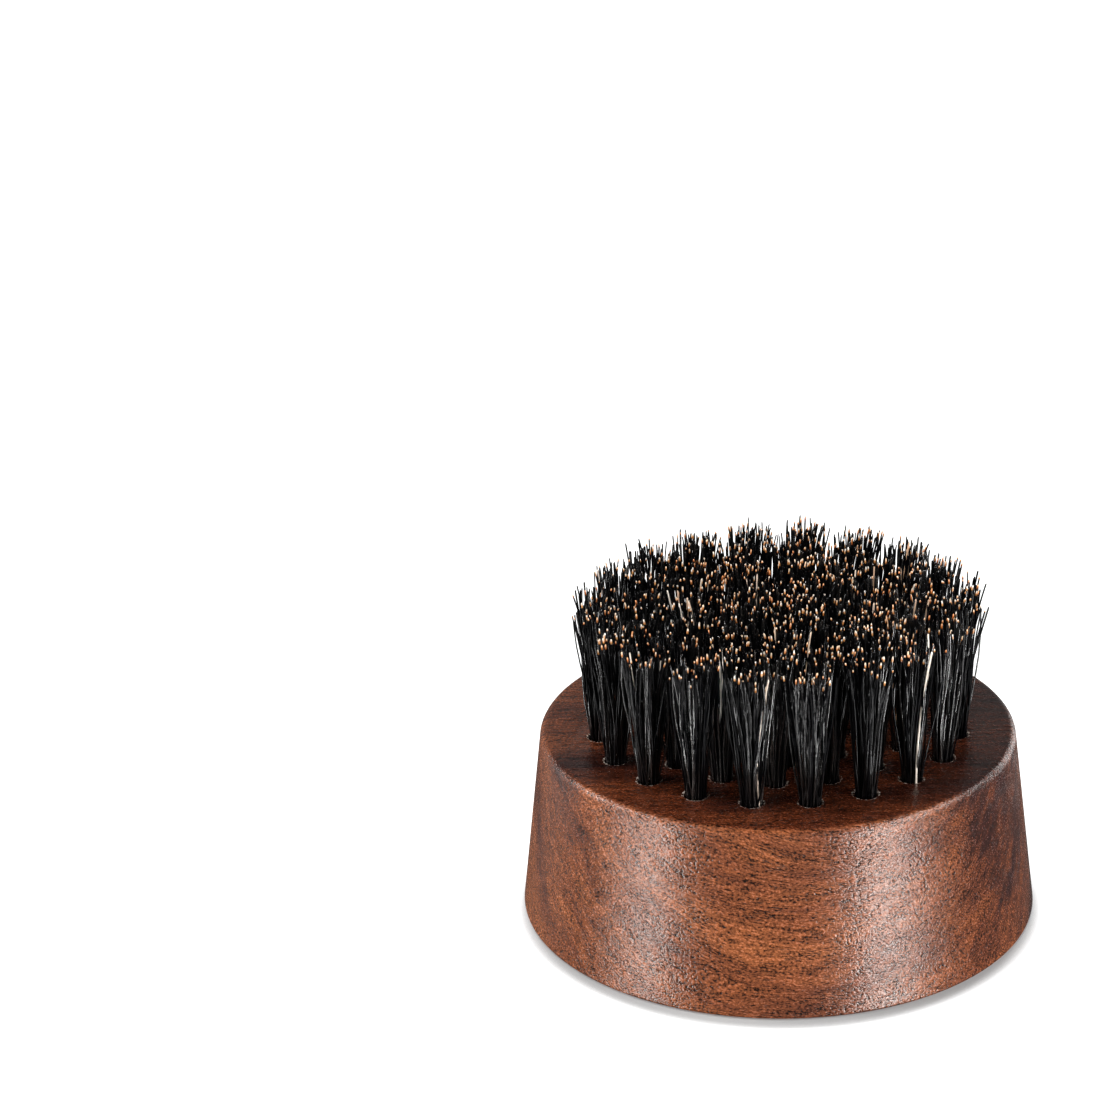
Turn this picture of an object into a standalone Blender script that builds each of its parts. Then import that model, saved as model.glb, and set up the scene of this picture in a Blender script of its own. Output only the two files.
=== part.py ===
"""Round palm beard brush: a turned walnut handle with tufts of boar bristle set in drilled holes.

Metres, +Z up. The origin is the centre of the handle's broad face, on which the brush stands with its
bristles up.
"""

import math
from itertools import pairwise

import bmesh
import bpy
from mathutils import Matrix

# The handle, one low disc of walnut whose side tapers towards the bristles
BASE_RADIUS = 0.0300
TOP_RADIUS = 0.0276
HANDLE_HEIGHT = 0.0221
BASE_ARRIS = 0.0004
TOP_ROUNDING = 0.0010
HANDLE_SIDES = 72
ROUNDING_STEPS = 4

# The tufts, in rings about one centre tuft: name, count, and the angle of the first, in degrees
RING_PITCH = 0.0052
RINGS = (
    ("centre", 1, 0.0),
    ("inner", 6, -75.0),
    ("third", 11, -84.0),
    ("second", 16, -91.0),
    ("outer", 20, -79.8),
)
BRISTLE_LENGTH = 0.0148
TUFT_TIP_RADIUS = 0.0024
TUFT_SIDES = 8
TUFT_STEPS = 4
FLARE_POWER = 1.6

# The blind holes that the tufts sit in
HOLE_DEPTH = 0.0075
HOLE_RADIUS = 0.0014
TUFT_GAP = 0.0003
DRILL_OVERRUN = 0.0010


def clear_scene():
    for old in list(bpy.data.objects):
        bpy.data.objects.remove(old)


def material(name, color, roughness):
    made = bpy.data.materials.new(name)
    made.use_nodes = True
    shader = made.node_tree.nodes["Principled BSDF"]
    shader.inputs["Base Color"].default_value = (*color, 1.0)
    shader.inputs["Roughness"].default_value = roughness
    shader.inputs["Metallic"].default_value = 0.0
    return made


def add_turned_body(bm, profile, sides, place):
    """Adds a closed round body. The profile is a list of (radius, height) pairs, lowest first."""
    loops = []
    for radius, height in profile:
        circle = bmesh.ops.create_circle(
            bm, segments=sides, radius=radius, matrix=place @ Matrix.Translation((0, 0, height))
        )
        loops.append(circle["verts"])
    for lower, upper in pairwise(loops):
        for side in range(sides):
            after = (side + 1) % sides
            bm.faces.new((lower[side], lower[after], upper[after], upper[side]))
    bm.faces.new(loops[0][::-1])
    bm.faces.new(loops[-1])


def turned_mesh(name, profile, sides, places):
    """One mesh holding the turned body once at each place."""
    bm = bmesh.new()
    for place in places:
        add_turned_body(bm, profile, sides, place)
    bmesh.ops.recalc_face_normals(bm, faces=bm.faces)
    mesh = bpy.data.meshes.new(name)
    bm.to_mesh(mesh)
    bm.free()
    mesh.shade_smooth()
    mesh.set_sharp_from_angle(angle=math.radians(40))
    return mesh


def add_object(name, mesh, parent):
    made = bpy.data.objects.new(name, mesh)
    bpy.context.scene.collection.objects.link(made)
    made.parent = parent
    return made


def tuft_places():
    """(tuft name, matrix at the mouth of its hole, +X pointing away from the handle's axis), ring by ring."""
    for ring, (ring_name, count, first_angle) in enumerate(RINGS):
        for index in range(count):
            turn = Matrix.Rotation(math.radians(first_angle + 360 / count * index), 4, "Z")
            mouth = Matrix.Translation((ring * RING_PITCH, 0, HANDLE_HEIGHT))
            number = f"_{index + 1:02d}" if count > 1 else ""
            yield f"tuft_{ring_name}{number}", turn @ mouth


def handle_profile():
    """Up the outside: the arris round the base, the tapered side, and the rounded upper edge."""
    profile = [(BASE_RADIUS - BASE_ARRIS, 0.0), (BASE_RADIUS, BASE_ARRIS)]
    for step in range(ROUNDING_STEPS + 1):
        angle = math.pi / 2 * step / ROUNDING_STEPS
        radius = TOP_RADIUS - TOP_ROUNDING * (1 - math.cos(angle))
        profile.append((radius, HANDLE_HEIGHT - TOP_ROUNDING * (1 - math.sin(angle))))
    return profile


def tuft_profile():
    """Straight inside the hole, then flaring to the trimmed tips."""
    root_radius = HOLE_RADIUS - TUFT_GAP
    profile = [(root_radius, TUFT_GAP - HOLE_DEPTH)]
    for step in range(TUFT_STEPS + 1):
        share = step / TUFT_STEPS
        spread = (TUFT_TIP_RADIUS - root_radius) * share**FLARE_POWER
        profile.append((root_radius + spread, BRISTLE_LENGTH * share))
    return profile


def build_handle(parent):
    mesh = turned_mesh("handle", handle_profile(), HANDLE_SIDES, [Matrix.Identity(4)])
    mesh.materials.append(material("walnut", (0.14, 0.055, 0.03), 0.45))
    handle = add_object("handle", mesh, parent)

    drill = [(HOLE_RADIUS, -HOLE_DEPTH), (HOLE_RADIUS, DRILL_OVERRUN)]
    places = [place for _, place in tuft_places()]
    cutter = add_object("tuft_hole_cutter", turned_mesh("tuft_holes", drill, TUFT_SIDES, places), parent)
    cutter.hide_render = True
    cutter.display_type = "WIRE"

    holes = handle.modifiers.new("tuft_holes", "BOOLEAN")
    holes.operation = "DIFFERENCE"
    holes.solver = "EXACT"
    holes.object = cutter


def build_tufts(parent):
    mesh = turned_mesh("tuft", tuft_profile(), TUFT_SIDES, [Matrix.Identity(4)])
    mesh.materials.append(material("bristle", (0.012, 0.011, 0.011), 0.4))
    for name, place in tuft_places():
        tuft = add_object(name, mesh, parent)
        tuft.location = place.translation
        tuft.rotation_euler = place.to_euler()


clear_scene()
brush = add_object("beard_brush", None, None)
build_handle(brush)
build_tufts(brush)
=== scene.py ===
"""Looks of the round palm beard brush: turned walnut handle, folded bristle tufts and their wire anchors.

Everything is in metres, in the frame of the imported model. Sizes written in millimetres are multiplied by MM.
"""

import math
from itertools import pairwise

import bmesh
import bpy
import numpy as np
from mathutils import Matrix, Quaternion, Vector


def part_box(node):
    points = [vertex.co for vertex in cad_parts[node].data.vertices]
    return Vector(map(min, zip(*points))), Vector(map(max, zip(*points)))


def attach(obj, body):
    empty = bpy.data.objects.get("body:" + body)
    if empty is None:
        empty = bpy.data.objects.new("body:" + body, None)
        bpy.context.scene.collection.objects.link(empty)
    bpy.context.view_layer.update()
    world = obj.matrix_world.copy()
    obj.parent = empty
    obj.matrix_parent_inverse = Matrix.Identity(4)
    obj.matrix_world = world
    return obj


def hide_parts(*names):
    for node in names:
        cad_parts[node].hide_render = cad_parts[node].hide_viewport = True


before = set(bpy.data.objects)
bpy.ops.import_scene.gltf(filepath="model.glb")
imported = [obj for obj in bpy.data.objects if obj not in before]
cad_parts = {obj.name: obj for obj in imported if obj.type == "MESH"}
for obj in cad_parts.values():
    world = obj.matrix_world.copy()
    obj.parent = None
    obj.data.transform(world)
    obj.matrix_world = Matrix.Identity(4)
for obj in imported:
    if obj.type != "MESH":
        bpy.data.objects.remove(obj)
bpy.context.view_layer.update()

MM = 0.001

# ---------------------------------------------------------------- sizes that the frame gives
HANDLE_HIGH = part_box("handle")[1]
BASE_RADIUS = HANDLE_HIGH.x
HANDLE_HEIGHT = HANDLE_HIGH.z
TUFT_NAMES = sorted(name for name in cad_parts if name.startswith("tuft_"))
BRISTLE_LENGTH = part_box("tuft_centre")[1].z - HANDLE_HEIGHT
TUFT_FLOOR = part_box("tuft_centre")[0].z

# ---------------------------------------------------------------- the handle's own shape
TOP_RADIUS = 0.92 * BASE_RADIUS
BASE_ARRIS = 0.4 * MM
TOP_ROUNDING = 1.0 * MM
HANDLE_SIDES = 256
ROUNDING_STEPS = 8
HOLE_RADIUS = 1.33 * MM
HOLE_FLOOR = TUFT_FLOOR - 0.3 * MM
HOLE_CONE = 0.35 * MM
HOLE_SIDES = 28
# The least and the most that a hole's mouth is worn outwards, in millimetres, and how steeply it slopes
MOUTH_WEAR = (0.16, 0.30)
MOUTH_SLOPE = 0.3
# Faces that meet at more than these angles keep a sharp edge: in general, on the cut handle and on a strand
SHARP_ANGLE = math.radians(40)
SHARP_ANGLE_CUT = math.radians(35)
SHARP_ANGLE_STRAND = math.radians(75)

# Plain ornament burnt into the base: two ring grooves, a rosette of lozenges and a circle of ticks
GROOVE_WIDTH = 0.35 * MM
GROOVE_DEPTH = 0.20 * MM
RING_GROOVES = (0.60 * BASE_RADIUS, 0.75 * BASE_RADIUS)
ROSETTE_PETALS = 16
# Inner radius, outer radius and width of each kind of lozenge
ROSETTE_LONG = (0.08 * BASE_RADIUS, 0.50 * BASE_RADIUS, 2.4 * MM)
ROSETTE_SHORT = (0.22 * BASE_RADIUS, 0.42 * BASE_RADIUS, 1.5 * MM)
TICK_COUNT = 48
TICK = (0.63 * BASE_RADIUS, 0.72 * BASE_RADIUS, 0.6 * MM)


def mouth_of(name):
    """The centre of a tuft's hole, at the height of the handle's upper face."""
    low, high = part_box(name)
    return Vector(((low.x + high.x) / 2, (low.y + high.y) / 2, HANDLE_HEIGHT))


# ---------------------------------------------------------------- camera
CAMERA_DISTANCE = 0.400
CAMERA_ELEVATION = math.radians(26.55)
CAMERA_TARGET = Vector((0, 0, 11.4 * MM))
AIM_LEFT = math.radians(4.13)
AIM_UP = math.radians(4.37)
CAMERA_ROLL = math.radians(-1.71)
# Focal length and sensor width are in millimetres, as Blender takes them
CAMERA_LENS = 110.9
SENSOR_WIDTH = 36.0
CLIP_START = 0.01
CLIP_END = 20.0


def add_camera():
    """A camera aimed above and to the left of the brush, so the brush is low on the right of the picture."""
    data = bpy.data.cameras.new("camera")
    data.lens = CAMERA_LENS
    data.sensor_width = SENSOR_WIDTH
    data.clip_start = CLIP_START
    data.clip_end = CLIP_END
    camera = bpy.data.objects.new("camera", data)
    bpy.context.scene.collection.objects.link(camera)
    back = Vector((0, -math.cos(CAMERA_ELEVATION), math.sin(CAMERA_ELEVATION)))
    camera.location = CAMERA_TARGET + back * CAMERA_DISTANCE
    pitch = AIM_UP - CAMERA_ELEVATION
    ahead = Vector(
        (
            -math.sin(AIM_LEFT) * math.cos(pitch),
            math.cos(AIM_LEFT) * math.cos(pitch),
            math.sin(pitch),
        )
    )
    camera.rotation_mode = "QUATERNION"
    camera.rotation_quaternion = ahead.to_track_quat("-Z", "Y") @ Quaternion((0, 0, 1), CAMERA_ROLL)
    bpy.context.scene.camera = camera


# ---------------------------------------------------------------- node helpers
def set_stops(ramp, stops):
    """Gives a color ramp these (position, color) stops, lowest first."""
    for index, (position, color) in enumerate(stops):
        element = ramp.elements[index] if index < 2 else ramp.elements.new(position)
        element.position = position
        element.color = (*color, 1.0)


class Nodes:
    """Adds nodes to one material's tree, each call returning the output that the next one takes."""

    def __init__(self, name):
        self.material = bpy.data.materials.new(name)
        self.material.use_nodes = True
        self.tree = self.material.node_tree
        self.shader = self.tree.nodes["Principled BSDF"]

    def feed(self, socket, value):
        if isinstance(value, bpy.types.NodeSocket):
            self.tree.links.new(value, socket)
        else:
            socket.default_value = value

    def add(self, kind, settings=(), **inputs):
        node = self.tree.nodes.new(kind)
        for key, value in dict(settings).items():
            setattr(node, key, value)
        for key, value in inputs.items():
            self.feed(node.inputs[key.replace("_", " ")], value)
        return node

    def surface(self, **inputs):
        for key, value in inputs.items():
            self.feed(self.shader.inputs[key.replace("_", " ")], value)

    def place(self):
        return self.add("ShaderNodeTexCoord").outputs["Object"]

    def mapped(self, vector, cell, turn=(0, 0, 0), move=(0, 0, 0)):
        """The vector counted in cells of this size, on a grid turned by these angles and then moved."""
        return self.add(
            "ShaderNodeMapping",
            {"vector_type": "TEXTURE"},
            Vector=vector,
            Scale=cell,
            Rotation=turn,
            Location=move,
        ).outputs[0]

    def noise(self, vector, scale=1.0, detail=4.0, roughness=0.5):
        return self.add(
            "ShaderNodeTexNoise",
            Vector=vector,
            Scale=scale,
            Detail=detail,
            Roughness=roughness,
        ).outputs["Fac"]

    def math(self, operation, first, second=0.0, third=0.0):
        node = self.tree.nodes.new("ShaderNodeMath")
        node.operation = operation
        for socket, value in zip(node.inputs, (first, second, third)):
            self.feed(socket, value)
        return node.outputs[0]

    def map_range(self, value, low, high, to_low=0.0, to_high=1.0, kind="SMOOTHSTEP"):
        node = self.tree.nodes.new("ShaderNodeMapRange")
        node.interpolation_type = kind
        for socket, given in zip(node.inputs, (value, low, high, to_low, to_high)):
            self.feed(socket, given)
        return node.outputs[0]

    def ramp(self, value, stops):
        node = self.tree.nodes.new("ShaderNodeValToRGB")
        self.feed(node.inputs[0], value)
        set_stops(node.color_ramp, stops)
        return node.outputs["Color"]

    def mix(self, factor, first, second, blend="MIX"):
        """Mixes two colors. Sockets 0, 6 and 7 are a Mix node's factor and its two colors."""
        node = self.tree.nodes.new("ShaderNodeMix")
        node.data_type = "RGBA"
        node.blend_type = blend
        for socket, value in zip((node.inputs[0], node.inputs[6], node.inputs[7]), (factor, first, second)):
            self.feed(socket, (*value, 1.0) if isinstance(value, tuple) else value)
        return node.outputs[2]

    def attribute(self, name):
        node = self.tree.nodes.new("ShaderNodeAttribute")
        node.attribute_name = name
        return node.outputs["Fac"]

    def bump(self, height, distance):
        return self.add("ShaderNodeBump", Height=height, Distance=distance, Strength=1.0).outputs[0]


# ---------------------------------------------------------------- walnut
# The growth layers climb towards the back, and the fibres dip a little to the right
GRAIN_TURN = (math.radians(47), math.radians(7), math.radians(-4))
# Grid cells of the grain's patterns: along the fibres, across them, and through the growth layers
WANDER_CELL = (34 * MM, 14 * MM, 14 * MM)
LAYER_CELL = (24 * MM, 6.0 * MM, 1.5 * MM)
BROAD_CELL = (45 * MM, 30 * MM, 7 * MM)
STREAK_CELL = (16 * MM, 5 * MM, 1.3 * MM)
SPECKLE_CELL = (0.32 * MM, 0.19 * MM, 0.19 * MM)
SHORT_FIBRE_CELL = (2.4 * MM, 0.20 * MM, 0.20 * MM)
LONG_FIBRE_CELL = (9.0 * MM, 1.2 * MM, 0.42 * MM)
# The most that the grain wanders off its straight line, along X, Y and Z
WANDER = (0.0, 2.5 * MM, 7.0 * MM)
# Shifts of two of the grids, which set where the darker bands fall
LAYER_MOVE = (0, 3 * MM, 0)
BROAD_MOVE = (0, 5 * MM, -1.5 * MM)
# How much the broad layers count in the figure, against the streaks within them
BROAD_SHARE = 0.62
STREAK_SHARE = 0.38
# How much each kind of fibre noise counts, then the noise's low and high and the shades that they give
SPECKLE_SHARE = 0.50
SHORT_FIBRE_SHARE = 0.26
LONG_FIBRE_SHARE = 0.24
FIBRE_SHADES = (0.385, 0.63, 0.02, 1.70)
# Length and width of the grid cell of each kind of pore, then its reach and share as walnut_pores takes them
LARGE_PORES = (5.0 * MM, 0.27 * MM, 0.27, 0.50)
SMALL_PORES = (1.8 * MM, 0.19 * MM, 0.27, 0.35)
PORE_DARKNESS = 0.88
SMALL_PORE_STRENGTH = 0.75
# Size of the pale specks: partly torn wood, partly painted glints
TORN_AND_GLINT_SPECK = 0.25 * MM
PORE_RELIEF = 0.20 * MM
FIBRE_RELIEF = 0.8
# From the smoothest wood to its pores
WOOD_ROUGHNESS = (0.22, 0.42)
WOOD_SHINE = (0.75, 0.10)

DARK_HEARTWOOD = (0.040, 0.013, 0.010)
DARK_WALNUT = (0.125, 0.036, 0.016)
WALNUT = (0.195, 0.057, 0.021)
LIGHT_WALNUT = (0.270, 0.084, 0.029)
PORE_COLOR = (0.010, 0.004, 0.003)
# Painted shade, multiplied into the upper face
UPPER_FACE_SHADE = (0.42, 0.34, 0.33)
CHAR = (0.020, 0.008, 0.005)
# Pale specks on the holes' mouths: partly torn, unoiled wood, partly painted glints
TORN_WOOD_AND_GLINT = (0.85, 0.76, 0.66)
WARM_SHINE = (1.0, 0.88, 0.83, 1.0)
FIGURE_STOPS = [(0.34, DARK_HEARTWOOD), (0.43, DARK_WALNUT), (0.52, WALNUT), (0.66, LIGHT_WALNUT)]


def walnut_grid(nodes, straight):
    """The gently bent grid that all the grain's patterns follow, because grain wanders a little."""
    wander_at = nodes.mapped(straight, WANDER_CELL, GRAIN_TURN)
    wander = nodes.add("ShaderNodeTexNoise", Vector=wander_at, Scale=1.0, Detail=2.0)
    bent = nodes.add("ShaderNodeVectorMath", {"operation": "MULTIPLY_ADD"})
    nodes.feed(bent.inputs[0], wander.outputs["Color"])
    nodes.feed(bent.inputs[1], WANDER)
    nodes.feed(bent.inputs[2], straight)
    return bent.outputs[0]


def walnut_figure(nodes, place, along):
    """Soft dark layers some millimetres thick, drawn out along the grain. The right end is darker: partly the
    wood's own tone, partly painted shade where less light falls on it.
    """
    broad = nodes.noise(nodes.mapped(place, BROAD_CELL, GRAIN_TURN, BROAD_MOVE), 1.0, 2.0)
    streak = nodes.noise(nodes.mapped(place, STREAK_CELL, GRAIN_TURN), 1.0, 3.0, 0.6)
    figure = nodes.math("MULTIPLY_ADD", broad, BROAD_SHARE, nodes.math("MULTIPLY", streak, STREAK_SHARE))
    # Partly painted shade: the figure is darkened towards the right end
    right_end_tone_and_shade = nodes.map_range(along, 0.6 * BASE_RADIUS, BASE_RADIUS, 0.0, 0.15)
    return nodes.ramp(nodes.math("SUBTRACT", figure, right_end_tone_and_shade), FIGURE_STOPS)


def walnut_fibres(nodes, place):
    """Fine light and dark lines along the grain, which end grain shows as speckle."""
    speckle = nodes.noise(nodes.mapped(place, SPECKLE_CELL, GRAIN_TURN), 1.0, 1.0, 0.6)
    short = nodes.noise(nodes.mapped(place, SHORT_FIBRE_CELL, GRAIN_TURN), 1.0, 1.0, 0.6)
    long = nodes.noise(nodes.mapped(place, LONG_FIBRE_CELL, GRAIN_TURN), 1.0, 2.0, 0.6)
    long = nodes.math("MULTIPLY", long, LONG_FIBRE_SHARE)
    lines = nodes.math("MULTIPLY_ADD", short, SHORT_FIBRE_SHARE, long)
    return nodes.math("MULTIPLY_ADD", speckle, SPECKLE_SHARE, lines)


def walnut_pores(nodes, place, length, width, reach, share):
    """Open pores: thin ellipsoids along the grain, so that end grain shows dots and long grain shows dashes.

    length and width are those of a grid cell, and reach is the largest pore's half size in cells. share is
    how many of the pores are bigger than the smallest, where they are neither crowded nor sparse.
    """
    cells = nodes.mapped(place, (length, width, width), GRAIN_TURN)
    voronoi = nodes.add("ShaderNodeTexVoronoi", {"feature": "F1"}, Vector=cells, Scale=1.0, Randomness=1.0)
    chance = nodes.add("ShaderNodeSeparateColor", Color=voronoi.outputs["Color"]).outputs[0]
    # They crowd together in the early wood of each growth layer
    layer = nodes.noise(nodes.mapped(place, LAYER_CELL, GRAIN_TURN, LAYER_MOVE), 1.0, 1.0)
    crowd = nodes.map_range(layer, 0.40, 0.60, -0.30, 0.30)
    chance = nodes.math("ADD", chance, crowd)
    size = nodes.map_range(chance, 1.0 - share, 1.0, 0.3 * reach, reach, kind="LINEAR")
    depth = nodes.math("SUBTRACT", size, voronoi.outputs["Distance"])
    return nodes.map_range(depth, 0.0, 0.07)


def walnut_material(name, burnt=0.0, torn_and_glints=0.0):
    """Oiled walnut. burnt darkens it to charred wood, and the last argument adds pale specks of torn wood and
    painted glints.
    """
    nodes = Nodes(name)
    straight = nodes.place()
    place = walnut_grid(nodes, straight)
    along = nodes.add("ShaderNodeSeparateXYZ", Vector=straight).outputs["X"]
    fibres = walnut_fibres(nodes, place)
    shade = nodes.map_range(fibres, *FIBRE_SHADES, kind="LINEAR")
    shade = nodes.add("ShaderNodeCombineColor", Red=shade, Green=shade, Blue=shade).outputs[0]
    base = nodes.mix(1.0, walnut_figure(nodes, place, along), shade, "MULTIPLY")

    large = walnut_pores(nodes, place, *LARGE_PORES)
    small = walnut_pores(nodes, place, *SMALL_PORES)
    pores = nodes.math("MAXIMUM", large, nodes.math("MULTIPLY", small, SMALL_PORE_STRENGTH))
    base = nodes.mix(nodes.math("MULTIPLY", pores, PORE_DARKNESS), base, PORE_COLOR)
    # Painted shade: the upper face is darkened, because little light reaches it past the tufts, and less so at
    # its left end, where more light falls
    facing = nodes.add("ShaderNodeNewGeometry").outputs["Normal"]
    upward = nodes.add("ShaderNodeSeparateXYZ", Vector=facing).outputs["Z"]
    painted_top_shade = nodes.map_range(along, -0.95 * BASE_RADIUS, -0.5 * BASE_RADIUS, 0.5, 1.0)
    painted_top_shade = nodes.math("MULTIPLY", painted_top_shade, nodes.map_range(upward, 0.80, 0.99))
    base = nodes.mix(painted_top_shade, base, UPPER_FACE_SHADE, "MULTIPLY")
    if burnt:
        base = nodes.mix(burnt, base, CHAR)
    # Pale specks on the holes' worn mouths: partly torn, unoiled wood, partly painted glints of light
    if torn_and_glints:
        torn_and_glint_specks = nodes.noise(straight, 1 / TORN_AND_GLINT_SPECK, 1.0)
        base = nodes.mix(nodes.map_range(torn_and_glint_specks, 0.52, 0.60, 0.0, torn_and_glints), base, TORN_WOOD_AND_GLINT)

    relief = nodes.math("SUBTRACT", nodes.math("MULTIPLY", fibres, FIBRE_RELIEF), pores)
    roughness = nodes.map_range(nodes.math("ADD", fibres, pores), 0.3, 1.4, *WOOD_ROUGHNESS, kind="LINEAR")
    nodes.surface(Base_Color=base, Roughness=roughness, Normal=nodes.bump(relief, PORE_RELIEF))
    # The oil warms the highlights, and hardly shines in the pores
    nodes.surface(Specular_Tint=WARM_SHINE)
    nodes.surface(Specular_IOR_Level=nodes.map_range(pores, 0.0, 0.6, *WOOD_SHINE, kind="LINEAR"))
    return nodes.material


# ---------------------------------------------------------------- bristle, wire and floor materials
BLACK_SHAFT = (0.001, 0.001, 0.0015)
GREY_SHAFT = (0.024, 0.023, 0.022)
MOTTLE_SIZE = 0.5 * MM
# A worn end goes from the shaft's black through an amber to an end color, both chosen by the strand's tone
AMBERS = ((0.42, 0.10, 0.02), (0.85, 0.40, 0.13))
WORN_ENDS = [(0.0, (0.95, 0.42, 0.17)), (0.4, (1.0, 0.76, 0.52)), (1.0, (1.0, 0.97, 0.93))]
DRAWN_CELL = (0.6 * MM, 0.6 * MM, 0.05 * MM)
DULL_WIRE = (0.52, 0.50, 0.46)
BRIGHT_WIRE = (0.70, 0.68, 0.63)
PALE_GREYS = ((0.26, 0.26, 0.26), (0.28, 0.28, 0.28))
WHITE = (1.0, 1.0, 1.0, 1.0)
BLACK = (0.0, 0.0, 0.0, 1.0)
# The floor looks for the brush along this direction, up and back, so its contact shadow lies in front of the
# base, reaches this far, and fades out round the sides
CONTACT_LEAN = Vector((0.0, 0.93, 0.37))
CONTACT_REACH = 2.9 * MM
# How brightly the floor glows in its darkest contact shadow and away from the brush, and the backdrop's glow
CONTACT_GLOW = 0.17
FLOOR_GLOW = 1.2
BACKDROP_GLOW = 1.1


def bristle_material():
    """Black shafts with worn ends, amber to cream, as the pale, tone and grey of a strand's mesh say."""
    nodes = Nodes("boar_bristle")
    pale = nodes.attribute("pale")
    tone = nodes.attribute("tone")
    mottle = nodes.noise(nodes.place(), 1 / MOTTLE_SIZE, 2.0)
    worn = nodes.math("MULTIPLY", nodes.attribute("grey"), nodes.map_range(mottle, 0.3, 0.7, 0.4, 1.0))
    shaft = nodes.mix(worn, BLACK_SHAFT, GREY_SHAFT)
    end = nodes.ramp(tone, WORN_ENDS)
    amber = nodes.mix(tone, *AMBERS)
    lit = nodes.mix(nodes.map_range(pale, 0.45, 0.9), amber, end)
    nodes.surface(Base_Color=nodes.mix(nodes.map_range(pale, 0.05, 0.45), shaft, lit), Roughness=0.16)
    # A few strands shine, and most are dull
    nodes.surface(Specular_IOR_Level=nodes.math("MULTIPLY_ADD", worn, 2.6, 0.08))
    return nodes.material


def wire_material():
    """Flat steel wire with a fine grain left by drawing."""
    nodes = Nodes("anchor_wire")
    drawn = nodes.noise(nodes.mapped(nodes.place(), DRAWN_CELL), 1.0, 3.0)
    nodes.surface(
        Base_Color=nodes.mix(drawn, DULL_WIRE, BRIGHT_WIRE),
        Roughness=nodes.map_range(drawn, 0.2, 0.8, 0.28, 0.46),
    )
    nodes.surface(Metallic=1.0)
    return nodes.material


def floor_material():
    """A pale table, washed out to white except right beside whatever stands on it."""
    nodes = Nodes("floor")
    cloud = nodes.noise(nodes.place(), 3.0, 2.0)
    nodes.surface(Base_Color=nodes.mix(cloud, *PALE_GREYS), Roughness=0.9)
    lean = nodes.add("ShaderNodeCombineXYZ", X=CONTACT_LEAN.x, Y=CONTACT_LEAN.y, Z=CONTACT_LEAN.z).outputs[0]
    shade = nodes.add("ShaderNodeAmbientOcclusion", {"samples": 16}, Distance=CONTACT_REACH, Normal=lean)
    glow = nodes.map_range(shade.outputs["AO"], 0.55, 0.92, CONTACT_GLOW, FLOOR_GLOW)
    nodes.surface(Specular_IOR_Level=0.0, Emission_Color=WHITE, Emission_Strength=glow)
    return nodes.material


def backdrop_material():
    """White paper, evenly lit, so that every side of the studio looks the same."""
    nodes = Nodes("backdrop")
    nodes.surface(Base_Color=BLACK, Roughness=1.0, Specular_IOR_Level=0.0)
    nodes.surface(Emission_Color=WHITE, Emission_Strength=BACKDROP_GLOW)
    return nodes.material


# ---------------------------------------------------------------- mesh helpers
def link(name, mesh, material):
    """An object of this mesh and material, in the scene."""
    made = bpy.data.objects.new(name, mesh)
    bpy.context.scene.collection.objects.link(made)
    mesh.materials.append(material)
    return made


def add_turned_body(bm, profile, sides, place=Matrix.Identity(4)):
    """Adds a closed round body through (radius, height) pairs, lowest first. A zero radius is a point."""
    loops = []
    for radius, height in profile:
        if radius == 0:
            loops.append([bm.verts.new(place @ Vector((0, 0, height)))])
            continue
        angles = [math.tau * side / sides for side in range(sides)]
        ring = [Vector((radius * math.cos(a), radius * math.sin(a), height)) for a in angles]
        loops.append([bm.verts.new(place @ corner) for corner in ring])
    for lower, upper in pairwise(loops):
        for side in range(sides):
            after = (side + 1) % sides
            corners = [lower[side % len(lower)], lower[after % len(lower)]]
            corners += [upper[after % len(upper)], upper[side % len(upper)]]
            bm.faces.new(list(dict.fromkeys(corners)))
    for loop, turned in ((loops[0], True), (loops[-1], False)):
        if len(loop) > 1:
            bm.faces.new(loop[::-1] if turned else loop)


def finished_mesh(bm, name):
    """The mesh of a bmesh, with its normals outwards and its sharp edges kept."""
    bmesh.ops.recalc_face_normals(bm, faces=bm.faces)
    mesh = bpy.data.meshes.new(name)
    bm.to_mesh(mesh)
    bm.free()
    mesh.shade_smooth()
    mesh.set_sharp_from_angle(angle=SHARP_ANGLE)
    return mesh


# ---------------------------------------------------------------- handle
def handle_profile():
    """Up the outside: the arris round the base, the tapered side, and the rounded upper edge."""
    profile = [(BASE_RADIUS - BASE_ARRIS, 0.0)]
    for step in range(1, ROUNDING_STEPS + 1):
        angle = math.pi / 2 * step / ROUNDING_STEPS
        radius = BASE_RADIUS - BASE_ARRIS * (1 - math.sin(angle))
        profile.append((radius, BASE_ARRIS * (1 - math.cos(angle))))
    for step in range(ROUNDING_STEPS + 1):
        angle = math.pi / 2 * step / ROUNDING_STEPS
        radius = TOP_RADIUS - TOP_ROUNDING * (1 - math.cos(angle))
        profile.append((radius, HANDLE_HEIGHT - TOP_ROUNDING * (1 - math.sin(angle))))
    return profile


def hole_profile(rng):
    """A drilled hole: a coned floor, a straight wall and a shallow worn mouth, cut from above the wood."""
    worn = rng.uniform(*MOUTH_WEAR) * MM
    return [
        (0, HOLE_FLOOR - HOLE_CONE),
        (HOLE_RADIUS, HOLE_FLOOR),
        (HOLE_RADIUS, HANDLE_HEIGHT - MOUTH_SLOPE * worn),
        (HOLE_RADIUS + worn, HANDLE_HEIGHT),
        (HOLE_RADIUS + 3 * worn, HANDLE_HEIGHT + 2 * MOUTH_SLOPE * worn),
    ]


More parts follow.
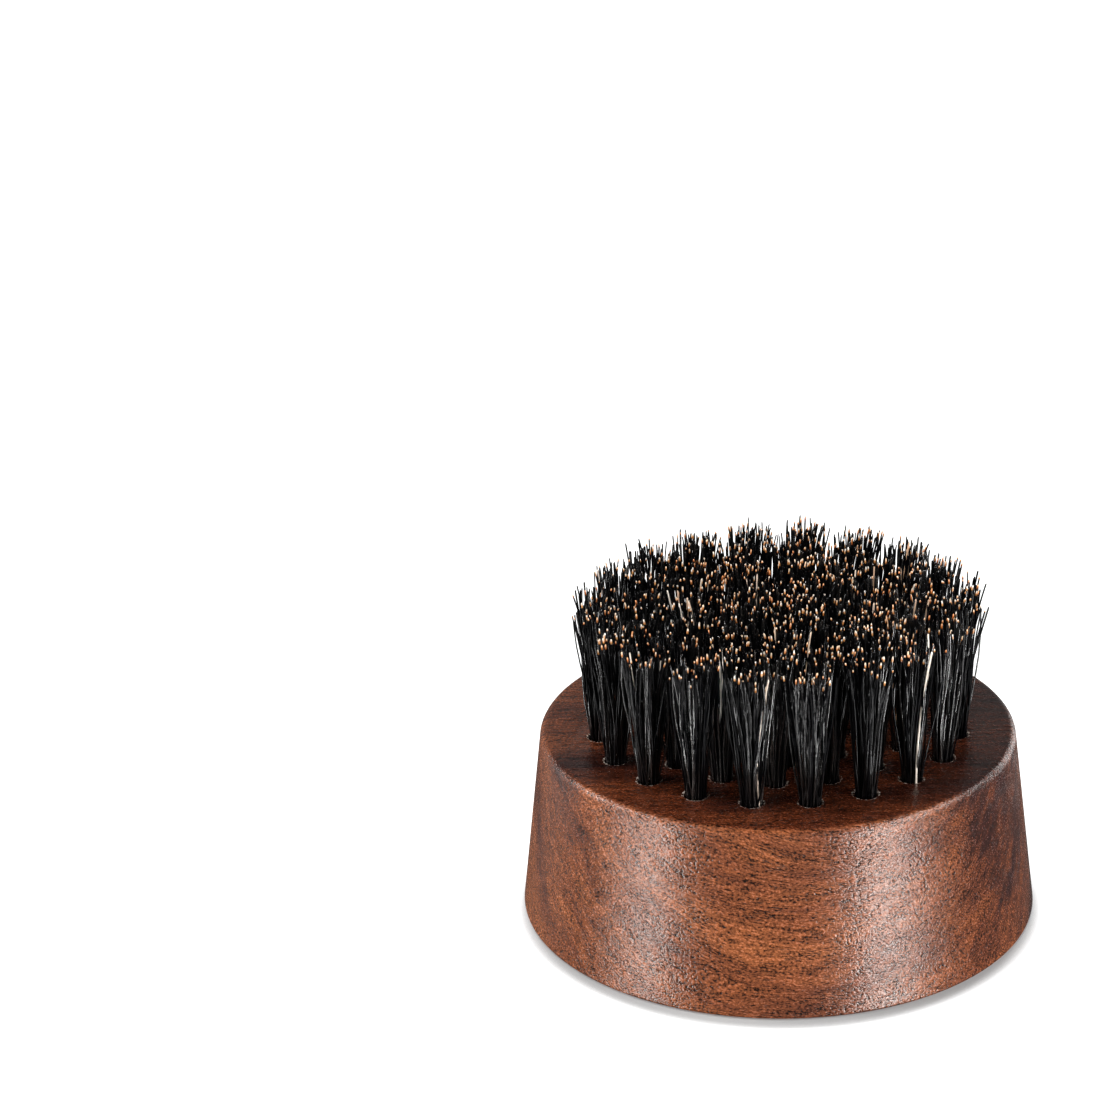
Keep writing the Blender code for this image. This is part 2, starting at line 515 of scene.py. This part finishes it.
def ring_groove(bm, radius):
    """A ring cutter of square section, centred on the base's plane."""
    half = GROOVE_WIDTH / 2
    corners = [(radius - half, -GROOVE_DEPTH), (radius + half, -GROOVE_DEPTH)]
    corners += [(radius + half, GROOVE_DEPTH), (radius - half, GROOVE_DEPTH)]
    loops = []
    for side in range(HANDLE_SIDES // 2):
        angle = math.tau * side / (HANDLE_SIDES // 2)
        loops.append([bm.verts.new((r * math.cos(angle), r * math.sin(angle), z)) for r, z in corners])
    for first, second in pairwise([*loops, loops[0]]):
        for corner in range(4):
            after = (corner + 1) % 4
            bm.faces.new((first[corner], first[after], second[after], second[corner]))


def lozenge_cut(bm, inner, outer, width, angle):
    """A long lozenge cutter that points outwards from the base's middle."""
    middle = (inner + outer) / 2
    outline = ((inner, 0.0), (middle, -width / 2), (outer, 0.0), (middle, width / 2))
    turn = Matrix.Rotation(angle, 3, "Z")
    low = [bm.verts.new(turn @ Vector((x, y, -GROOVE_DEPTH))) for x, y in outline]
    high = [bm.verts.new(turn @ Vector((x, y, GROOVE_DEPTH))) for x, y in outline]
    bm.faces.new(low[::-1])
    bm.faces.new(high)
    for corner in range(4):
        after = (corner + 1) % 4
        bm.faces.new((low[corner], low[after], high[after], high[corner]))


def ornament_cutter(material):
    """A plain rosette of lozenges inside two rings and a circle of ticks."""
    bm = bmesh.new()
    for radius in RING_GROOVES:
        ring_groove(bm, radius)
    for petal in range(ROSETTE_PETALS):
        angle = math.tau * petal / ROSETTE_PETALS
        inner, outer, width = ROSETTE_LONG if petal % 2 == 0 else ROSETTE_SHORT
        lozenge_cut(bm, inner, outer, width, angle)
    for tick in range(TICK_COUNT):
        lozenge_cut(bm, *TICK, math.tau * (tick + 0.5) / TICK_COUNT)
    return link("ornament_cutter", finished_mesh(bm, "ornament_cutter"), material)


def hole_cutter(material):
    """The drilled holes of all the tufts, as one cutter."""
    rng = np.random.default_rng(11)
    bm = bmesh.new()
    for name in TUFT_NAMES:
        mouth = mouth_of(name)
        add_turned_body(bm, hole_profile(rng), HOLE_SIDES, Matrix.Translation((mouth.x, mouth.y, 0)))
    return link("hole_cutter", finished_mesh(bm, "hole_cutter"), material)


def build_handle(walnut, drilled, engraved):
    """The turned handle, with the holes and the ornament cut out of it."""
    bm = bmesh.new()
    add_turned_body(bm, handle_profile(), HANDLE_SIDES)
    handle = link("walnut_handle", finished_mesh(bm, "walnut_handle"), walnut)
    cutters = (hole_cutter(drilled), ornament_cutter(engraved))
    for cutter in cutters:
        cut = handle.modifiers.new(cutter.name, "BOOLEAN")
        cut.operation = "DIFFERENCE"
        cut.solver = "EXACT"
        cut.material_mode = "TRANSFER"
        cut.object = cutter
    depsgraph = bpy.context.evaluated_depsgraph_get()
    mesh = bpy.data.meshes.new_from_object(handle.evaluated_get(depsgraph))
    handle.modifiers.clear()
    handle.data = mesh
    mesh.name = "walnut_handle"
    mesh.shade_smooth()
    mesh.set_sharp_from_angle(angle=SHARP_ANGLE_CUT)
    for cutter in cutters:
        bpy.data.objects.remove(cutter)
    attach(handle, "root")
    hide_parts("handle")


# ---------------------------------------------------------------- tufts
STRANDS = 33
STRAND_RADIUS = 0.112 * MM
STRAND_SIDES = 5
STRAND_THICKNESS = (0.82, 1.14)
BUNDLE_RADIUS = 1.2 * MM
# The strands fill this share of the bundle's radius, give or take a standard deviation in millimetres
BUNDLE_FILL = 0.97
ROOT_JITTER = 0.05
# How many times as wide as its foot a tuft is at its tips, and how late along its length it flares
TIP_SPREAD = 2.45
FLARE_POWER = 1.4
# The tips are swept this far to the right and back at the middle of the field, twice as far at its right and
# back edges, and not at all at its left and front edges
FIELD_LEAN = Vector((0.35 * MM, 0.7 * MM))
FIELD_RADIUS = 0.7 * BASE_RADIUS
# Standard deviations, in millimetres: the lean of one half of a tuft, and a strand's own lean, bow and S-curl
HALF_TUFT_LEAN = 0.16
STRAND_LEAN = 0.34
STRAND_BOW = 0.32
STRAND_CURL = 0.13
# A few strays lean further
STRAY_SHARE = 0.03
STRAY_LEAN = 0.6
# A strand's length as a share of the tufts' nominal length: mean, standard deviation, least and most
LENGTH_MEAN = 1.038
LENGTH_DEVIATION = 0.032
SHORTEST = 0.94
LONGEST = 1.10
# Ends worn pale: their share of all ends, how far down they are worn in millimetres, and how pale they are
WORN_SHARE = 0.35
WORN_REACH = (0.18, 0.70)
WORN_PALENESS = (0.75, 1.0)
# Strands that are pale all the way down
BLOND_SHARE = 0.009
BLOND_PALENESS = (0.6, 0.9)
BLOND_TONE = (0.6, 1.0)
# Most shafts are near black, and the higher this power, the fewer are grey
GREY_POWER = 3.2
# Shares of the free length, from the wood to the tip, at which a strand has a ring of corners
STATIONS = np.array([0.0, 0.12, 0.28, 0.45, 0.62, 0.78, 0.90, 0.955, 0.98, 0.993, 1.0])
# How thick a strand is at each station: tapering a little, then rounded over at its worn tip
TIP_WEAR = np.array([1.0, 1.0, 1.0, 0.98, 0.96, 0.94, 0.92, 0.90, 0.88, 0.78, 0.42])
FOLD_STEPS = 5
# Each tuft is folded over a flat wire anchor whose ends bite into the wood beside the hole
FOLD_HEIGHT = TUFT_FLOOR + 1.25 * MM
ANCHOR_THICKNESS = 0.20 * MM
ANCHOR_HEIGHT = 1.2 * MM
ANCHOR_LENGTH = 2.9 * MM
ANCHOR_SINK = 0.1 * MM
ANCHOR_BEVEL = 0.04 * MM
NEAREST_TO_ANCHOR = 0.24 * MM
TUFT_TURNS = np.random.default_rng(7).uniform(0, math.pi, len(TUFT_NAMES))


def half_disc_points(count, radius, rng):
    """Points spread over the half of a disc with x > 0, clear of the anchor at x = 0."""
    points = []
    golden = math.pi * (3 - math.sqrt(5))
    index = 0
    while len(points) < count:
        reach = radius * math.sqrt((index + 0.5) / (2 * count))
        angle = golden * index
        if math.cos(angle) > 0:
            points.append((reach * math.cos(angle), reach * math.sin(angle)))
        index += 1
    points = np.array(points) * BUNDLE_FILL + rng.normal(0, ROOT_JITTER, (count, 2)) * MM
    points[:, 0] = np.maximum(points[:, 0], NEAREST_TO_ANCHOR)
    return points


def leg(root, side, swept, rng):
    """One half tuft's free ends, from the hole's mouth to the tips: (strand, station, xyz) from the mouth."""
    count = len(root)
    start = root * (side, 1.0)
    lean = rng.normal(0, HALF_TUFT_LEAN, 2) * MM + swept
    spread = start * (TIP_SPREAD - 1.0) + lean + rng.normal(0, STRAND_LEAN, (count, 2)) * MM
    length = BRISTLE_LENGTH * np.clip(rng.normal(LENGTH_MEAN, LENGTH_DEVIATION, count), SHORTEST, LONGEST)
    stray = rng.random(count) < STRAY_SHARE
    spread[stray] += rng.normal(0, STRAY_LEAN, (stray.sum(), 2)) * MM
    bow = rng.normal(0, STRAND_BOW, (count, 1, 2)) * MM
    curl = rng.normal(0, STRAND_CURL, (count, 1, 2)) * MM
    share = STATIONS[None, :, None]
    path = start[:, None, :] + spread[:, None, :] * share**FLARE_POWER
    path = path + bow * np.sin(math.pi * share) + curl * np.sin(math.tau * share)
    height = length[:, None, None] * share
    return np.concatenate([path, height], axis=2)


def strand_paths(swept, rng):
    """Each strand from one tip down into the hole, round under the anchor and up to its other tip."""
    root = half_disc_points(STRANDS, BUNDLE_RADIUS, rng)
    up = leg(root, 1.0, swept, rng)
    down = leg(root, -1.0, swept, rng)
    fold_top = FOLD_HEIGHT - HANDLE_HEIGHT
    angles = np.linspace(0, math.pi, FOLD_STEPS)[None, :]
    fold = np.stack(
        [
            root[:, :1] * np.cos(angles),
            np.repeat(root[:, 1:], FOLD_STEPS, axis=1),
            fold_top - root[:, :1] * np.sin(angles),
        ],
        axis=2,
    )
    return np.concatenate([up[:, ::-1], fold, down], axis=1)


def strand_colors(rng, rings):
    """How pale each ring of each strand is, the strand's tone where it is pale, and how grey its shaft is."""
    stations = len(STATIONS)
    pale = np.zeros((STRANDS, rings))
    for end in (0, 1):
        reach = rng.uniform(*WORN_REACH, STRANDS) * MM
        is_worn = rng.random(STRANDS) < WORN_SHARE
        strength = np.where(is_worn, rng.uniform(*WORN_PALENESS, STRANDS), 0.0)
        from_tip = BRISTLE_LENGTH * (1 - STATIONS)[None, :]
        fade = strength[:, None] * np.clip(1.4 * (1 - from_tip / reach[:, None]), 0, 1)
        if end:
            pale[:, -stations:] = fade
        else:
            pale[:, :stations] = fade[:, ::-1]
    blond = rng.random(STRANDS) < BLOND_SHARE
    pale[blond] = rng.uniform(*BLOND_PALENESS, (blond.sum(), 1))
    tone = rng.beta(1.0, 1.1, STRANDS)
    tone[blond] = rng.uniform(*BLOND_TONE, blond.sum())
    grey = rng.random(STRANDS) ** GREY_POWER
    return {
        "pale": pale,
        "tone": np.repeat(tone[:, None], rings, axis=1),
        "grey": np.repeat(grey[:, None], rings, axis=1),
    }


def tube_mesh(name, paths, radius, sides):
    """Closed tubes along (strand, ring, xyz) paths that keep clear of the Y direction."""
    strands, rings = paths.shape[:2]
    tangent = np.gradient(paths, axis=1)
    tangent /= np.linalg.norm(tangent, axis=2, keepdims=True)
    first = np.cross(tangent, (0.0, 1.0, 0.0))
    first /= np.linalg.norm(first, axis=2, keepdims=True)
    second = np.cross(first, tangent)
    angles = math.tau * np.arange(sides) / sides
    around = first[:, :, None] * np.cos(angles)[:, None] + second[:, :, None] * np.sin(angles)[:, None]
    corners = paths[:, :, None] + radius[:, :, None, None] * around

    index = np.arange(strands * rings * sides).reshape(strands, rings, sides)
    low, high = index[:, :-1], index[:, 1:]
    quads = np.stack([low, high, np.roll(high, -1, 2), np.roll(low, -1, 2)], axis=3).reshape(-1, 4)
    faces = quads.tolist() + index[:, 0].tolist() + index[:, -1, ::-1].tolist()
    mesh = bpy.data.meshes.new(name)
    mesh.from_pydata(corners.reshape(-1, 3).tolist(), [], faces)
    mesh.validate()
    mesh.shade_smooth()
    mesh.set_sharp_from_angle(angle=SHARP_ANGLE_STRAND)
    return mesh


def add_attribute(mesh, name, values, sides):
    """Stores one value for each ring of each strand on all of that ring's corners."""
    layer = mesh.attributes.new(name, "FLOAT", "POINT")
    layer.data.foreach_set("value", np.repeat(values.reshape(-1), sides).astype(np.float32))


def build_tufts(material):
    """One object for each tuft, with the lean of its place in the field."""
    for number, name in enumerate(TUFT_NAMES):
        rng = np.random.default_rng(1000 + number)
        mouth = mouth_of(name)
        swept = FIELD_LEAN * (1 + (mouth.x + mouth.y) / FIELD_RADIUS)
        swept.rotate(Matrix.Rotation(-TUFT_TURNS[number], 2))
        paths = strand_paths(np.array(swept), rng)
        rings = paths.shape[1]
        thickness = STRAND_RADIUS * rng.uniform(*STRAND_THICKNESS, (STRANDS, 1))
        stations = len(STATIONS)
        worn = np.ones(rings)
        worn[-stations:] = TIP_WEAR
        worn[:stations] = TIP_WEAR[::-1]
        radius = thickness * worn[None, :]
        mesh = tube_mesh(f"bristles_{name}", paths, radius, STRAND_SIDES)
        for attribute, values in strand_colors(rng, rings).items():
            add_attribute(mesh, attribute, values, STRAND_SIDES)
        turn = Matrix.Rotation(TUFT_TURNS[number], 4, "Z")
        mesh.transform(Matrix.Translation(mouth) @ turn)
        tuft = link(f"bristles_{name}", mesh, material)
        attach(tuft, "root")
        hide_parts(name)


def build_anchors(material):
    """One short length of flat wire across the fold of each tuft, with its edges rolled over."""
    bm = bmesh.new()
    for name, turned in zip(TUFT_NAMES, TUFT_TURNS):
        place = mouth_of(name)
        place.z = FOLD_HEIGHT + ANCHOR_HEIGHT / 2 - ANCHOR_SINK
        size = Matrix.Diagonal((ANCHOR_THICKNESS, ANCHOR_LENGTH, ANCHOR_HEIGHT, 1))
        placed = Matrix.Translation(place) @ Matrix.Rotation(turned, 4, "Z") @ size
        made = bmesh.ops.create_cube(bm, matrix=placed)
        edges = {edge for vert in made["verts"] for edge in vert.link_edges}
        bmesh.ops.bevel(bm, geom=list(edges), offset=ANCHOR_BEVEL, segments=2, affect="EDGES", profile=0.5)
    anchors = link("tuft_anchors", finished_mesh(bm, "tuft_anchors"), material)
    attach(anchors, "root")


# ---------------------------------------------------------------- lights and floor
# Brightness of the surroundings at each elevation in degrees
SURROUNDINGS = ((-90, 0.09), (-2, 0.09), (0, 0.30), (10, 0.30), (22, 0.13), (34, 0.09), (48, 0.03))
LAMPS_AIM = Vector((0, 0, 0.012))
FLOOR_HALF_WIDTH = 6.0
FLOOR_DROP = 0.05 * MM
BACKDROP_RADIUS = 4.0


def add_area_light(name, place, width, height, power):
    """A lamp that faces the brush and that the camera doesn't see."""
    data = bpy.data.lights.new(name, "AREA")
    data.shape = "RECTANGLE"
    data.size = width
    data.size_y = height
    data.energy = power
    lamp = bpy.data.objects.new(name, data)
    bpy.context.scene.collection.objects.link(lamp)
    lamp.visible_camera = False
    lamp.location = place
    lamp.rotation_euler = (LAMPS_AIM - Vector(place)).to_track_quat("-Z", "Y").to_euler()
    return lamp


def around(angle, distance, height):
    """A point round the brush: angle in degrees from the front, positive to the right."""
    turned = math.radians(angle)
    return (distance * math.sin(turned), -distance * math.cos(turned), height)


def add_surroundings():
    """A dim room, brighter from the brush's own level up to ten degrees, which lights it softly all round."""
    world = bpy.data.worlds.new("studio")
    world.use_nodes = True
    tree = world.node_tree
    direction = tree.nodes.new("ShaderNodeTexCoord")
    split = tree.nodes.new("ShaderNodeSeparateXYZ")
    height = tree.nodes.new("ShaderNodeMapRange")
    height.inputs["From Min"].default_value = -1.0
    bands = tree.nodes.new("ShaderNodeValToRGB")
    stops = [((math.sin(math.radians(at)) + 1) / 2, (light, light, light)) for at, light in SURROUNDINGS]
    set_stops(bands.color_ramp, stops)
    tree.links.new(direction.outputs["Generated"], split.inputs[0])
    tree.links.new(split.outputs["Z"], height.inputs["Value"])
    tree.links.new(height.outputs[0], bands.inputs[0])
    tree.links.new(bands.outputs[0], tree.nodes["Background"].inputs["Color"])
    bpy.context.scene.world = world


def add_scenery(name, bm, material):
    """A piece of scenery that only the camera sees, so it neither lights nor shades the brush."""
    made = link(name, finished_mesh(bm, name), material)
    made.visible_diffuse = False
    made.visible_glossy = False
    made.visible_shadow = False
    return made


def build_studio():
    """A white floor across a white globe, which the camera sees, and the lamps, which it doesn't."""
    bpy.context.scene.view_settings.view_transform = "Standard"
    add_surroundings()

    bm = bmesh.new()
    bmesh.ops.create_grid(bm, x_segments=1, y_segments=1, size=FLOOR_HALF_WIDTH)
    floor = add_scenery("floor", bm, floor_material())
    floor.location.z = -FLOOR_DROP

    bm = bmesh.new()
    bmesh.ops.create_icosphere(bm, subdivisions=5, radius=BACKDROP_RADIUS)
    add_scenery("backdrop", bm, backdrop_material())

    # Each lamp's place, width, height and power in watts. Tall softboxes make the upright highlights on the
    # handle's side, and strips above them light its upper edge
    add_area_light("left_softbox", around(-60, 0.6, -0.17), 0.10, 0.48, 2.6)
    add_area_light("right_softbox", around(49.5, 0.6, -0.17), 0.11, 0.48, 4.0)
    add_area_light("left_strip", around(-80, 0.62, 0.40), 0.60, 0.05, 4.2)
    add_area_light("right_strip", around(70, 0.62, 0.40), 0.46, 0.05, 4.4)
    add_area_light("left_rear_softbox", around(-118, 0.6, 0.0), 0.20, 0.45, 0.4)
    add_area_light("right_rear_softbox", around(142, 0.6, 0.05), 0.16, 0.40, 0.9)
    # Fills light the brush without a highlight of their own
    fills = [
        add_area_light("front_fill", around(-2, 0.6, 0.07), 0.50, 0.20, 1.05),
        add_area_light("rear_fill", around(185, 0.6, 0.07), 0.50, 0.20, 1.4),
        add_area_light("top_fill", (-0.32, 0.05, 0.74), 0.30, 0.30, 4.0),
    ]
    for fill in fills:
        fill.visible_glossy = False


add_camera()
build_studio()
build_handle(
    walnut_material("walnut"),
    walnut_material("walnut_drilled", torn_and_glints=0.7),
    walnut_material("walnut_engraved", burnt=0.85),
)
build_tufts(bristle_material())
build_anchors(wire_material())
